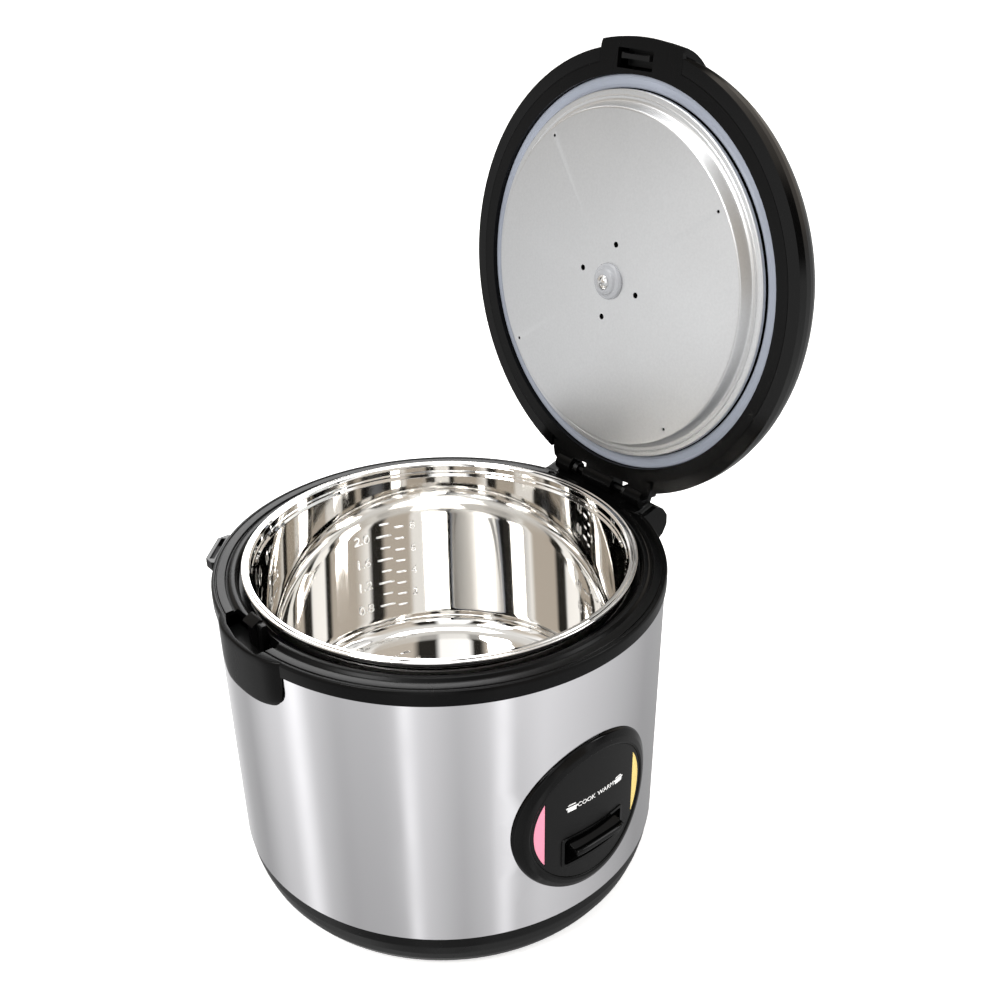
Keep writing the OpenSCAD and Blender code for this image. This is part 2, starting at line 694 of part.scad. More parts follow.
module plate_screw() {
  b = lid_z - 8.6;
  color(steel) up() opened() difference() {
    ring_solid(concat([[0, b + 9], [0, b - 8]], arc(0, b - 2.4, 5.6, -90, -36, 6), [[4.6, b - 5.2]],
      [[1.95, b - 5.2], [1.95, b + 9]]));
    for (r = [0, 90]) rotate(r) translate([-2.2, -0.5, b - 9]) cube([4.4, 1, 2.4]);
  }
}

module lid_screws() {
  color(steel) up() opened() for (a = [45:90:315]) rotate(a) translate([108, 0, 0]) {
    translate([0, 0, 207.2]) cylinder(r = 3, h = 2.2);
    translate([0, 0, 209]) cylinder(r = 1.5, h = 9);
  }
}

module release_button() {
  color(black) up() opened() intersection() {
    translate([0, 0, lid_z]) ring_solid(concat([[0, 0]], super(bulge_r + 0.4, lid_h + 5.6, 2.4)));
    translate([-115, latch_y / 2, 218]) linear_extrude(60) square([20.2, 36.2], center = true);
  }
}

module lid_catch() {
  color([0.45, 0.45, 0.46]) up() opened() translate([0, latch_y, 0]) {
    translate([-132.2, -9.4, lid_z + 0.2]) cube([2.8, 18.8, 1.7]);
    for (s = [-1, 1]) translate([-132.6, s > 0 ? 9.2 : -11.2, lid_z + 0.2]) cube([3.4, 2, 8.4]);
    translate([-134.4, -13, lid_z + 8]) cube([9.6, 26, 2.4]);
  }
}

module catch_spring() {
  color(steel) up() opened() translate([-129, latch_y, lid_z + 11]) coil(2.4, 0.5, 1.5, 1.6);
}

module steam_tube() {
  color([0.8, 0.8, 0.8]) up() opened() translate([44, 0, 217]) tube(10, 7, 32);
}

module steam_cap() {
  color(black) up() opened() translate([44, 0, 0]) difference() {
    union() {
      translate([0, 0, 246]) cylinder(r = 14.9, h = 8);
      ring_solid(concat([[0, 252.8], [18, 252.8]], arc(16.4, 256.6, 1.6, 0, 70, 5), [[9, 259], [0, 259.2]]));
    }
    translate([0, 0, 240]) cylinder(r = 10.4, h = 14.5);
    for (a = [0:45:315]) rotate(a) translate([6, -1, 240]) cube([7.5, 2, 40]);
  }
}

/* ---------- pot ---------- */

module inner_pot() {
  r = 112.4;
  c = 15;
  z0 = pot_z0 + 1.5;
  top = pot_top_z;
  color([0.85, 0.85, 0.84]) up() ring_solid(concat(
    [[0, pot_z0]], [[r - c, pot_z0]], arc(r - c, pot_z0 + c + pot_t, c + pot_t, -90, 0, 8),
    [[r + pot_t, 197.5], [r + 2.9, 199.5], [r + 2.9, top - 3.4], [pot_rim_r - 0.6, top - 3.4]],
    arc(pot_rim_r - 1.4, top - 1.4, 1.4, -55, 90, 7), [[r + 3.4, top]],
    arc(r + 3.4, top - 1.6, 1.6, 90, 180, 5), [[r + 1.8, 199.8], [r, 197.8]],
    arc(r - c, z0 + c, c, 0, -90, 8), [[0, z0]]));
}

base_pan();
rubber_feet();
base_screws();
support_legs();
steel_shell();
top_ring();
scoop_loop();
latch_hook();
inner_liner();
warm_heater_band();
heating_plate();
heating_element();
plate_spacers();
sensor_sleeve();
sensor_cap();
sensor_spring();
cook_magnet();
magnet_bar();
microswitch();
thermal_fuse();
terminal_block();
lead_wires();
inlet_socket();
inlet_pins();
panel_bezel();
panel_face();
cook_lens();
warm_lens();
indicator_lamps();
cook_lever();
lever_link();
lever_pin();
hinge_pin();
hinge_springs();
hinge_screws();
lid_cover();
lid_frame();
lid_gasket();
inner_plate();
plate_grommet();
plate_screw();
lid_screws();
release_button();
lid_catch();
catch_spring();
steam_tube();
steam_cap();
inner_pot();
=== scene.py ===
import bpy
import bmesh
import math
from mathutils import Matrix, Vector


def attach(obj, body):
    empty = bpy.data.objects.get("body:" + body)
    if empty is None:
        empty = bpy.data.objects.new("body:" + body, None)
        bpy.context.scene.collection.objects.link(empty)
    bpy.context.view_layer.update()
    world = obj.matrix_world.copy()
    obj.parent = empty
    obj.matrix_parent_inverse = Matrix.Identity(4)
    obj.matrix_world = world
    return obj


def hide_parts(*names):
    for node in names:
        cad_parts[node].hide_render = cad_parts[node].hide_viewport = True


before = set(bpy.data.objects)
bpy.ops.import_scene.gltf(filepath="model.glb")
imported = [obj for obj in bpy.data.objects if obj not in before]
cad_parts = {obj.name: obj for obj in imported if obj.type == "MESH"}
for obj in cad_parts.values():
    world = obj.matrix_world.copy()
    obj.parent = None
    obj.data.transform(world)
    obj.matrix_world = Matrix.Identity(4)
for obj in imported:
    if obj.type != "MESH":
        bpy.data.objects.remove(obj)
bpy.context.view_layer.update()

# The object's sizes are in millimetres, and lights and the floor are in metres.
# The latch is on the -X side, the hinge on +X and the control panel on -Y.
MM = 0.001
# Heights are drawn from a datum this far above the surface that the cooker stands on
LIFT = Matrix.Translation((0, 0, 12 * MM))
HINGE_X, HINGE_Z = 137.3, 206.4
HINGE = Vector((HINGE_X, 0, HINGE_Z)) * MM
OPEN = Matrix.Translation(HINGE) @ Matrix.Rotation(math.radians(95), 4, "Y") @ Matrix.Translation(-HINGE)
# Stands a flat shape up, so that its height points out of the panel's side
FACING = Matrix.Rotation(math.radians(90), 4, "X")
IDENT = Matrix.Identity(4)
LID_Z = 203.2


# ---------- materials ----------
class Nodes:
    """A small helper to lay out a material's nodes."""

    def __init__(self, name):
        self.mat = bpy.data.materials.new(name)
        self.mat.use_nodes = True
        self.tree = self.mat.node_tree
        self.bsdf = self.tree.nodes["Principled BSDF"]

    def node(self, kind, **values):
        n = self.tree.nodes.new(kind)
        for k, v in values.items():
            n.inputs[k.replace("_", " ")].default_value = v
        return n

    def link(self, a, b):
        self.tree.links.new(a, b)

    def set(self, **values):
        for k, v in values.items():
            self.bsdf.inputs[k.replace("_", " ")].default_value = v

    def coords(self, scale=(1, 1, 1)):
        c = self.node("ShaderNodeTexCoord")
        m = self.node("ShaderNodeMapping", Scale=scale)
        self.link(c.outputs["Object"], m.inputs["Vector"])
        return m.outputs["Vector"]

    def noise(self, vector, scale, detail, rough=0.55):
        n = self.node("ShaderNodeTexNoise", Scale=scale, Detail=detail, Roughness=rough)
        self.link(vector, n.inputs["Vector"])
        return n.outputs["Fac"]

    def colour(self, noise, dark, light):
        """The base colour runs from dark to light over the middle of the noise."""
        r = self.node("ShaderNodeValToRGB")
        for element, place, colour in zip(r.color_ramp.elements, (0.3, 0.7), (dark, light)):
            element.position = place
            element.color = (*colour, 1)
        self.link(noise, r.inputs["Fac"])
        self.link(r.outputs["Color"], self.bsdf.inputs["Base Color"])

    def roughness(self, noise, middle, spread):
        m = self.node("ShaderNodeMapRange", From_Min=0.3, From_Max=0.7,
                      To_Min=middle - spread / 2, To_Max=middle + spread / 2)
        self.link(noise, m.inputs["Value"])
        self.link(m.outputs["Result"], self.bsdf.inputs["Roughness"])

    def bump(self, height, strength, distance):
        b = self.node("ShaderNodeBump", Strength=strength, Distance=distance)
        self.link(height, b.inputs["Height"])
        self.link(b.outputs["Normal"], self.bsdf.inputs["Normal"])


def grey(v, tint):
    return tuple(v * c for c in tint)


def plastic(name, value, rough, grain=0.0, tint=(1, 1, 1.03), spec=0.5):
    m = Nodes(name)
    v = m.coords()
    fine = m.noise(v, 900, 3, 0.6)
    broad = m.noise(v, 14, 3, 0.5)
    m.colour(broad, grey(value * 0.9, tint), grey(value * 1.1, tint))
    m.roughness(broad, rough, 0.05)
    m.bump(fine, grain, 0.00006)
    m.set(Specular_IOR_Level=spec)
    return m.mat


def metal(name, value, rough, stretch=(1, 1, 1), grain=0.1, tint=(1, 1, 1), spread=0.05, contrast=0.03):
    m = Nodes(name)
    fine = m.noise(m.coords(stretch), 600, 3, 0.6)
    broad = m.noise(m.coords(), 20, 3, 0.5)
    m.colour(fine, grey(value * (1 - contrast), tint), grey(value * (1 + contrast), tint))
    m.roughness(broad, rough, spread)
    m.bump(fine, grain, 0.00004)
    m.set(Metallic=1.0)
    return m.mat


MAT = {
    "black_gloss": plastic("black_gloss_plastic", 0.0016, 0.12, 0.02, spec=0.17),
    "black_satin": plastic("black_satin_plastic", 0.0018, 0.27, 0.1, spec=0.12),
    "black_matte": plastic("black_matte_plastic", 0.0025, 0.42, 0.25, spec=0.1),
    "panel_dark": plastic("panel_dark_plastic", 0.005, 0.36, 0.2, spec=0.16),
    "rubber": plastic("rubber_black", 0.012, 0.7, 0.5, spec=0.2),
    "gasket": plastic("gasket_silicone", 0.34, 0.45, 0.12, tint=(0.86, 0.94, 1.12), spec=0.4),
    "clear": plastic("clear_silicone", 0.36, 0.22, 0.05, tint=(0.97, 1.0, 1.06)),
    "ceramic": plastic("ceramic_cream", 0.7, 0.25, 0.1, tint=(1, 0.97, 0.88)),
    "mica": plastic("mica_band", 0.3, 0.45, 0.3, tint=(1.2, 0.9, 0.5)),
    "wire": plastic("wire_red", 0.3, 0.4, 0.1, tint=(1.6, 0.25, 0.2)),
    "pink": plastic("lens_pink", 0.74, 0.32, 0.06, tint=(1.1, 0.36, 0.52)),
    "yellow": plastic("lens_yellow", 0.74, 0.32, 0.06, tint=(1.05, 0.8, 0.24)),
    "print": plastic("print_white", 0.8, 0.5, 0.05, tint=(1, 1, 1)),
    "lamp": plastic("lamp_glass", 0.6, 0.12, 0.0, tint=(1.4, 0.6, 0.3)),
    "steel": metal("shell_steel", 0.86, 0.14, (1, 1, 40), 0.015, (0.985, 0.975, 1.0), contrast=0.012),
    "sheet": metal("zinc_sheet", 0.6, 0.36, grain=0.2),
    "bright": metal("bright_steel", 0.75, 0.14, grain=0.03),
    "pot": metal("polished_steel", 0.86, 0.035, (1, 1, 6), 0.006, (1, 0.985, 0.96), 0.02, 0.01),
    "etched": metal("etched_steel", 0.92, 0.34, grain=0.2),
    "plate": metal("satin_aluminium", 0.74, 0.36, grain=0.12, tint=(0.99, 1, 1.01)),
    "black_steel": metal("black_oxide_steel", 0.03, 0.35, grain=0.1),
    "cast": metal("cast_aluminium", 0.6, 0.5, grain=0.5),
    "dark_steel": metal("element_steel", 0.3, 0.45, grain=0.3),
    "brass": metal("brass_pins", 0.6, 0.25, grain=0.1, tint=(1.1, 0.88, 0.5)),
}

NODES_IN = {
    "black_gloss": ("scoop_loop", "panel_bezel", "cook_lever", "lid_cover", "steam_cap"),
    "black_satin": ("base_pan", "top_ring", "latch_hook", "lid_frame"),
    "black_matte": ("microswitch", "inlet_socket", "release_button"),
    "panel_dark": ("panel_face", "lid_catch"),
    "rubber": ("rubber_feet",),
    "gasket": ("lid_gasket",),
    "clear": ("plate_grommet", "steam_tube"),
    "ceramic": ("thermal_fuse", "terminal_block"),
    "mica": ("warm_heater_band",),
    "wire": ("lead_wires",),
    "pink": ("cook_lens",),
    "yellow": ("warm_lens",),
    "lamp": ("indicator_lamps",),
    "steel": ("steel_shell",),
    "sheet": ("support_legs", "inner_liner", "sensor_sleeve", "magnet_bar", "lever_link"),
    "bright": ("base_screws", "plate_spacers", "sensor_spring", "lever_pin", "hinge_screws", "plate_screw",
               "lid_screws", "catch_spring"),
    "pot": ("inner_pot",),
    "plate": ("inner_plate",),
    "black_steel": ("hinge_pin", "hinge_springs"),
    "cast": ("heating_plate", "sensor_cap"),
    "dark_steel": ("heating_element", "cook_magnet"),
    "brass": ("inlet_pins",),
}
for kind, names in NODES_IN.items():
    for name in names:
        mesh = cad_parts[name].data
        mesh.materials.clear()
        mesh.materials.append(MAT[kind])


# ---------- mesh helpers ----------
def rounded(points, steps=4):
    """An outline of (x, y) or (x, y, radius), with each radius turned into an eased corner."""
    out = []
    for i, (x, y, *r) in enumerate(points):
        p = Vector((x, y))
        if not r:
            out.append(p)
            continue
        a = Vector(points[i - 1][:2]) - p
        b = Vector(points[(i + 1) % len(points)][:2]) - p
        d = r[0] / max(0.2, math.tan(a.angle(b) / 2))
        start = p + a.normalized() * min(d, a.length * 0.48)
        end = p + b.normalized() * min(d, b.length * 0.48)
        for k in range(steps + 1):
            t = k / steps
            out.append(start * (1 - t) ** 2 + p * 2 * t * (1 - t) + end * t * t)
    return out


def polar(r, a, z):
    return (r * math.cos(a), r * math.sin(a), z)


def arc(r, centre, start, end, steps):
    """Points on a circle from start to end, in degrees, with both ends."""
    turns = [math.radians(start + (end - start) * i / (steps - 1)) for i in range(steps)]
    return [(centre[0] + r * math.cos(a), centre[1] + r * math.sin(a)) for a in turns]


def circle(r, centre=(0, 0), steps=64):
    return arc(r, centre, 0, 360, steps + 1)[:-1]


def box_outline(x, low, high, r):
    """A box with rounded corners, from -x to x."""
    return rounded([(-x, low, r), (x, low, r), (x, high, r), (-x, high, r)], steps=5)


def loops(rows, ring=True, caps=False):
    """A surface through rows of points, each row a closed loop; ring joins the last row to the first."""
    bm = bmesh.new()
    made = [[bm.verts.new(Vector(p) * MM) for p in row] for row in rows]
    for i in range(len(made) if ring else len(made) - 1):
        a, b = made[i], made[(i + 1) % len(made)]
        for k in range(len(a)):
            j = (k + 1) % len(a)
            bm.faces.new((a[k], b[k], b[j], a[j]))
    if caps:
        bm.faces.new(made[0])
        bm.faces.new(list(reversed(made[-1])))
    bmesh.ops.remove_doubles(bm, verts=bm.verts, dist=1e-7)
    bmesh.ops.recalc_face_normals(bm, faces=bm.faces)
    return bm


def lathe(points, steps=240):
    """A closed profile of (radius, height) turned about Z."""
    return loops([[polar(r, 2 * math.pi * i / steps, z) for r, z in points] for i in range(steps)])


def prism(outline, z0, z1, bevel=0.0):
    """An outline raised from z0 to z1, with its edges bevelled."""
    bm = bmesh.new()
    low = [bm.verts.new(Vector((x, y, z0)) * MM) for x, y in outline]
    high = [bm.verts.new(Vector((x, y, z1)) * MM) for x, y in outline]
    n = len(low)
    rims = [bm.faces.new(list(reversed(low))), bm.faces.new(high)]
    for i in range(n):
        j = (i + 1) % n
        bm.faces.new((low[i], low[j], high[j], high[i]))
    if bevel:
        edges = list({e for f in rims for e in f.edges})
        bmesh.ops.bevel(bm, geom=edges, offset=bevel * MM, segments=3, affect="EDGES", profile=0.5)
    bmesh.ops.recalc_face_normals(bm, faces=bm.faces)
    return bm


def along_y(outline, y0, y1, bevel=0.0):
    """An outline in (x, z) raised along Y."""
    bm = prism(outline, y0, y1, bevel)
    for v in bm.verts:
        x, z, y = v.co
        v.co = (x, y, z)
    bmesh.ops.recalc_face_normals(bm, faces=bm.faces)
    return bm


def linked(name, data):
    o = bpy.data.objects.new(name, data)
    bpy.context.collection.objects.link(o)
    return o


def raw(name, bm, place=IDENT):
    """An object that isn't finished yet, or that cuts another one."""
    mesh = bpy.data.meshes.new(name)
    bm.to_mesh(mesh)
    bm.free()
    mesh.transform(place)
    return linked(name, mesh)


def evaluated_mesh(o):
    bpy.context.view_layer.update()
    return bpy.data.meshes.new_from_object(o.evaluated_get(bpy.context.evaluated_depsgraph_get()))


def combine(o, other, how="DIFFERENCE"):
    m = o.modifiers.new("combine", "BOOLEAN")
    m.operation = how
    m.solver = "EXACT"
    m.object = other
    made = evaluated_mesh(o)
    o.modifiers.clear()
    o.data = made
    bpy.data.objects.remove(other)


def cut(o, bm, place=IDENT):
    combine(o, raw("cut", bm, place))


def finish(o, material, body, *nodes, sharp=32):
    o.data.transform(LIFT)
    o.data.materials.clear()
    o.data.materials.append(MAT[material])
    for p in o.data.polygons:
        p.use_smooth = True
        p.material_index = 0
    o.data.set_sharp_from_angle(angle=math.radians(sharp))
    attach(o, body)
    if nodes:
        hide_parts(*nodes)


def piece(name, bm, material, body, *nodes, place=IDENT, sharp=32):
    finish(raw(name, bm, place), material, body, *nodes, sharp=sharp)


def lettering(name, text, size, spot, material, body):
    """Raised lettering; spot turns a flat (x, y, height) in mm into a place on the object."""
    curve = bpy.data.curves.new(name + "_outline", "FONT")
    curve.body = text
    curve.size = size
    curve.align_x = "CENTER"
    curve.align_y = "CENTER"
    curve.resolution_u = 3
    curve.extrude = 0.12
    holder = linked(name + "_outline", curve)
    mesh = evaluated_mesh(holder)
    bpy.data.objects.remove(holder)
    for v in mesh.vertices:
        v.co = Vector(spot(v.co.x, v.co.y, v.co.z)) * MM
    finish(linked(name, mesh), material, body)


# ---------- pot ----------
POT_R = 112.4
MARK_OFFSET = 0.1

pot_profile = [
    (0, 72), (113.6, 72, 16), (113.6, 197.2, 2), (115.3, 199.4, 1), (115.3, 202.9, 0.6), (118.8, 202.7, 0.4),
    (119.9, 203.6, 0.6), (119.9, 205.5, 0.8), (119.0, 205.9, 0.5), (118.5, 205.3, 0.3), (117.7, 205.3, 0.3),
    (117.2, 206.0, 0.5), (115.4, 206.0, 0.9), (114.2, 204.6, 0.9), (114.2, 201.2, 0.6), (113.5, 200.4, 0.4),
    (113.5, 199.2, 0.4), (POT_R, 197.6, 1.2), (POT_R, 73.5, 16), (0, 73.5)]
piece("pot_shell", lathe(rounded(pot_profile, steps=7)), "pot", "pot", "inner_pot")


def on_wall(azimuth, height):
    """Places flat lettering on the inside of the pot's wall."""
    def spot(x, y, z):
        r = POT_R + MARK_OFFSET - max(0, z + 0.1) * 4.2
        return polar(r, math.radians(azimuth) - x / POT_R, height + y)
    return spot


def wall_bar(name, azimuth, width, height, z):
    """A pressed level line on the pot's wall, fading out at both ends."""
    rows = []
    for i in range(9):
        a = math.radians(azimuth) + (i / 8 - 0.5) * width / POT_R
        fade = 1 - abs(i / 4 - 1) ** 4
        rows.append([polar(POT_R + MARK_OFFSET - depth * fade, a, z + across * height)
                     for across, depth in ((-0.5, 0), (-0.2, 1.0), (0.2, 1.0), (0.5, 0))])
    piece(name, loops(rows, ring=False, caps=True), "etched", "pot")


LITRE_Z, LITRE_STEP = 98.5, 19
CUP_Z, CUP_STEP = 96.5, 9.2
for i, level in enumerate(("0_8", "1_2", "1_6", "2_0")):
    z = LITRE_Z + LITRE_STEP * i
    number = level.replace("_", ".")
    lettering("pot_number_" + level, number, 10.0, on_wall(82.6, z + 1.0), "etched", "pot")
    wall_bar("pot_level_" + level, 74.0, 12, 2.0, z)
    wall_bar("pot_half_" + level, 73.6, 8, 1.6, z + LITRE_STEP / 2)
for i in range(8):
    z = CUP_Z + CUP_STEP * i
    wall_bar("pot_cup_line_%d" % (i + 1), 68.2, 7.5, 1.7, z)
    if i % 2:
        lettering("pot_cups_%d" % (i + 1), str(i + 1), 8.0, on_wall(63.4, z), "etched", "pot")


# ---------- top ring ----------
def disc(r, z0, z1):
    return lathe([(0, z0), (r, z0), (r, z1), (0, z1)])


ring_profile = [
    (117.6, 194.2), (117.6, 196.4, 0.4), (122.0, 196.4, 0.4), (122.3, 200.0, 1.2), (124.0, 201.4, 1.6),
    (126.6, 201.3, 1.6), (128.2, 199.5, 0.6), (129.3, 199.3, 0.3), (129.8, 200.35, 0.4), (134.5, 200.5, 0.3),
    (134.9, 199.8, 0.2), (135.4, 199.8, 0.2), (135.8, 200.5, 0.3), (137.4, 200.4, 0.9), (138.0, 198.6, 1.0),
    (138.0, 191.2, 0.4), (135.4, 191.1), (135.4, 179), (132.8, 179), (132.8, 197.4), (124.4, 197.4),
    (124.4, 194.2)]
ring = raw("top_ring_band", lathe(rounded(ring_profile)))

# the hinge's housing at the back, fitted round the steel and the ring
house_outline = [
    (125, 190), (126, 200.4), (131, 200.4, 0.5), (140.5, 203.1, 1.2), (146.5, 200.2, 3), (150.9, 194.0, 4),
    (151.0, 187.0, 4), (147.5, 180.8, 4), (142.0, 177.3, 3), (137.3, 176.9, 0.6), (132.9, 181)]
house = raw("housing_block", along_y(rounded(house_outline, steps=5), -47.5, 47.5, 0.9))
cut(house, disc(137.1, 150, 191.1))
cut(house, disc(132.9, 150, 197.4))
combine(ring, house, "UNION")
cut(ring, along_y(circle(12.6, (HINGE_X, HINGE_Z)), -41, 41))

# two knuckles and the pin's bore
KNUCKLE = 6.2
left, right, top = HINGE_X - KNUCKLE, HINGE_X + KNUCKLE, HINGE_Z + KNUCKLE
knuckle_outline = rounded([(left, 191.3), (right, 191.3), (right, top, 5.5), (left, top, 5.5)], steps=8)
for y0 in (-20.0, 13.8):
    combine(ring, raw("knuckle", along_y(knuckle_outline, y0, y0 + KNUCKLE, 0.5)), "UNION")
cut(ring, along_y(circle(2.52, (HINGE_X, HINGE_Z), 40), -40.3, 40.3))

# the skirt below the latch: a shallow bulge with round lower corners
SKIRT_R, SKIRT_HALF, SKIRT_LOW, SKIRT_CORNER = 137.15, 33.0, 168, 13
SKIRT_LIP, SKIRT_EDGE = 198.4, 3


def quarter(t):
    """The height of a unit circle at t, or 0 beyond it."""
    return math.sqrt(max(0.0, 1 - t ** 2))


def latch_side(r, y, z):
    """The point at radius r on the latch side."""
    return (-math.sqrt(r ** 2 - y ** 2), y, z)


def skirt_row(u):
    """The skirt's section at u, from -1 to 1 across it."""
    t = min(1.0, abs(u * SKIRT_HALF + 0.5) / 33.4)
    bulge = 0.05 + 5.1 * (1 - t ** 3.4) ** 0.8
    row = []
    heights = [SKIRT_LOW + 0.25 * i * i for i in range(5)]
    for z in heights + [174, 177, 180, 184, 188, 191, 195, SKIRT_LIP, 199.6, 200.2, 200.5]:
        below = max(0, SKIRT_LOW + SKIRT_CORNER - z) / SKIRT_CORNER
        half = SKIRT_HALF - SKIRT_CORNER * (1 - quarter(below))
        out = bulge
        if z < SKIRT_LOW + SKIRT_EDGE:
            out *= 0.25 + 0.75 * quarter((SKIRT_LOW + SKIRT_EDGE - z) / SKIRT_EDGE)
        if z > SKIRT_LIP:
            out -= 1.3 * (1 - quarter((z - SKIRT_LIP) / 2.1))
        row.append(latch_side(SKIRT_R + max(0.02, out), u * half, z))
    row += [latch_side(136.4, u * SKIRT_HALF, 200.6), latch_side(136.4, u * SKIRT_HALF, 191.3)]
    row.append(latch_side(SKIRT_R, u * SKIRT_HALF, 191.2))
    row.append(latch_side(SKIRT_R, u * (SKIRT_HALF - SKIRT_CORNER), SKIRT_LOW))
    return row


skirt = raw("latch_skirt", loops([skirt_row(-1 + i / 24) for i in range(49)], ring=False, caps=True))
pocket = rounded([(-139.3, -17.8, 1), (-139.5, 4, 8), (-136.2, 20, 6), (-131.4, 29.5, 2), (-124.0, 29.5, 1),
                  (-124.0, -17.8, 1)], steps=5)
cut(ring, prism(pocket, 190.2, 230))
cut(skirt, prism(pocket, 192.2, 230))
pocket_floor = raw("latch_pocket_floor", prism([(x * 0.996, y * 1.02) for x, y in pocket], 186.6, 190.3))
cut(pocket_floor, lathe([(135.1, 180), (150, 180), (150, 195), (135.1, 195)]))
finish(pocket_floor, "black_matte", "housing")
finish(skirt, "black_satin", "housing", sharp=40)
finish(ring, "black_satin", "housing", "top_ring", sharp=28)

hook_outline = [
    (-124.2, 190), (-124.2, 208.2, 0.8), (-125.6, 209.1, 0.6), (-131.3, 206.2, 0.5), (-131.3, 205.4, 0.3),
    (-128.8, 205.3, 0.4), (-128.8, 190)]
piece("latch_hook_block", along_y(rounded(hook_outline), -1.2, 9.2, 0.5), "black_satin", "housing", "latch_hook")
post_outline = [(-128.6, 190), (-128.6, 207.6, 0.8), (-124.6, 207.6, 0.8), (-124.6, 190)]
piece("latch_post", along_y(rounded(post_outline), -6.5, -1.6, 0.4), "black_satin", "housing")


# ---------- control panel ----------
PANEL_Z, PANEL_R = 91.0, 139.6
PLATE_HALF, PLATE_CUTS = 44, 44


def panel_side(x, r, z):
    """The point at radius r on the panel's side."""
    return (x, -math.sqrt(r * r - x * x), z)


def on_panel(x0, z0):
    """Places flat lettering on the panel's curved face."""
    def spot(x, y, z):
        return panel_side(x0 + x, PANEL_R - 0.02 + (z + 0.12) * 0.8, z0 + y)
    return spot


bezel_section = rounded([
    (42.6, 134.0), (42.6, 136.6), (43.5, 136.6), (43.5, 139.9, 0.5), (44.9, 140.5, 0.7), (48.0, 139.9, 2),
    (51.6, 138.2, 1.2), (52.3, 137.1, 0.3), (52.3, 136.9), (51.3, 136.9), (51.3, 134.0)])


def bezel_row(a):
    return [panel_side(across * math.cos(a), r, PANEL_Z + across * math.sin(a)) for across, r in bezel_section]


piece("panel_bezel_ring", loops([bezel_row(2 * math.pi * i / 160) for i in range(160)]), "black_gloss", "housing",
      "panel_bezel", sharp=50)


def curved_plate(name, outline, holes, r0, r1, material, *nodes, bevel=0.0):
    """A plate with holes, cut flat and then wrapped round the body's axis."""
    plate = raw(name, prism(outline, 0, r1 - r0, bevel))
    for hole in holes:
        cut(plate, prism(hole, -5, 20))
    bm = bmesh.new()
    bm.from_mesh(plate.data)
    for i in range(1, PLATE_CUTS):
        x = (-PLATE_HALF + 2 * PLATE_HALF * i / PLATE_CUTS) * MM
        bmesh.ops.bisect_plane(bm, geom=list(bm.verts) + list(bm.edges) + list(bm.faces), plane_co=(x, 0, 0),
                               plane_no=(1, 0, 0))
    for v in bm.verts:
        x, z, height = v.co / MM
        v.co = Vector(panel_side(x, r0 + height, z)) * MM
    bmesh.ops.recalc_face_normals(bm, faces=bm.faces)
    bm.to_mesh(plate.data)
    bm.free()
    finish(plate, material, "housing", *nodes)


def chord(side, r, x0):
    """The part of a panel disc beyond x0, on the left (-1) or the right (1)."""
    a = math.degrees(math.acos(x0 / r))
    middle = 0 if side > 0 else 180
    return arc(r, (0, PANEL_Z), middle - a, middle + a, 36)


curved_plate("panel_plate", circle(43.3, (0, PANEL_Z), 128),
             [box_outline(22.5, 62.55, 81.05, 2.0), chord(-1, 41.5, 34.4), chord(1, 41.5, 34.4)],
             136.8, PANEL_R, "panel_dark", "panel_face", bevel=0.35)
curved_plate("panel_lens_cook", chord(-1, 41.3, 34.6), [], 136.9, 139.5, "pink", "cook_lens", bevel=0.25)
curved_plate("panel_lens_warm", chord(1, 41.3, 34.6), [], 136.9, 139.5, "yellow", "warm_lens", bevel=0.25)
curved_plate("panel_window_rim", box_outline(24.2, 60.9, 82.6, 3.0), [box_outline(22.3, 62.7, 80.9, 2.0)],
             139.2, 140.3, "black_gloss", bevel=0.45)

# the box behind the window, open at the front, with a passage for the lever's link
well = raw("panel_well", prism(box_outline(24.0, 61.0, 82.6, 3.0), 121.8, 137.2), FACING)
cut(well, prism(box_outline(22.4, 62.6, 81.0, 2.0), 123.2, 150), FACING)
cut(well, prism([(-6, 59), (6, 59), (6, 76), (-6, 76)], 115, 131), FACING)
finish(well, "black_matte", "housing")

# lever paddle: a rounded section across the window, with a raised front lip and a shallow dish
LEVER_Y, LEVER_Z, LEVER_HALF = -128.0, 76.5, 18.5
lever_section = rounded([
    (3.1, 1.2, 1.6), (3.2, -2.2, 1.6), (0, -3.3, 1.6), (-8.2, -4.2, 1), (-15.4, -5.2, 1.6), (-18.3, -4.4, 1.4),
    (-18.35, -1.4, 1.0), (-17.2, -0.6, 0.8), (-15.2, -1.0, 1.2), (-9, 1.6, 3), (0, 3.3, 1.6)], steps=5)


def lever_row(x):
    t = abs(x) / LEVER_HALF
    taper = 1 - 0.06 * t ** 6
    squeeze = 1 - 0.5 * max(0, t - 0.97) / 0.03
    return [(x, LEVER_Y + y * (taper if y < -8 else 1), LEVER_Z + z * squeeze) for y, z in lever_section]


half_rows = [4.4, 4.6, 9, 14, 17, 17.9, 18.3, LEVER_HALF]
lever_rows = [lever_row(x) for x in [-x for x in reversed(half_rows)] + half_rows]
paddle = raw("lever_paddle", loops(lever_rows, ring=False, caps=True))
cut(paddle, prism([(-4.3, -133), (4.3, -133), (4.3, -113), (-4.3, -113)], 70, 79))
finish(paddle, "black_gloss", "lever", "cook_lever", sharp=40)

lettering("print_cook", "COOK", 4.4, on_panel(-6.6, 103.6), "print", "housing")
lettering("print_warm", "WARM", 4.4, on_panel(8.6, 103.6), "print", "housing")


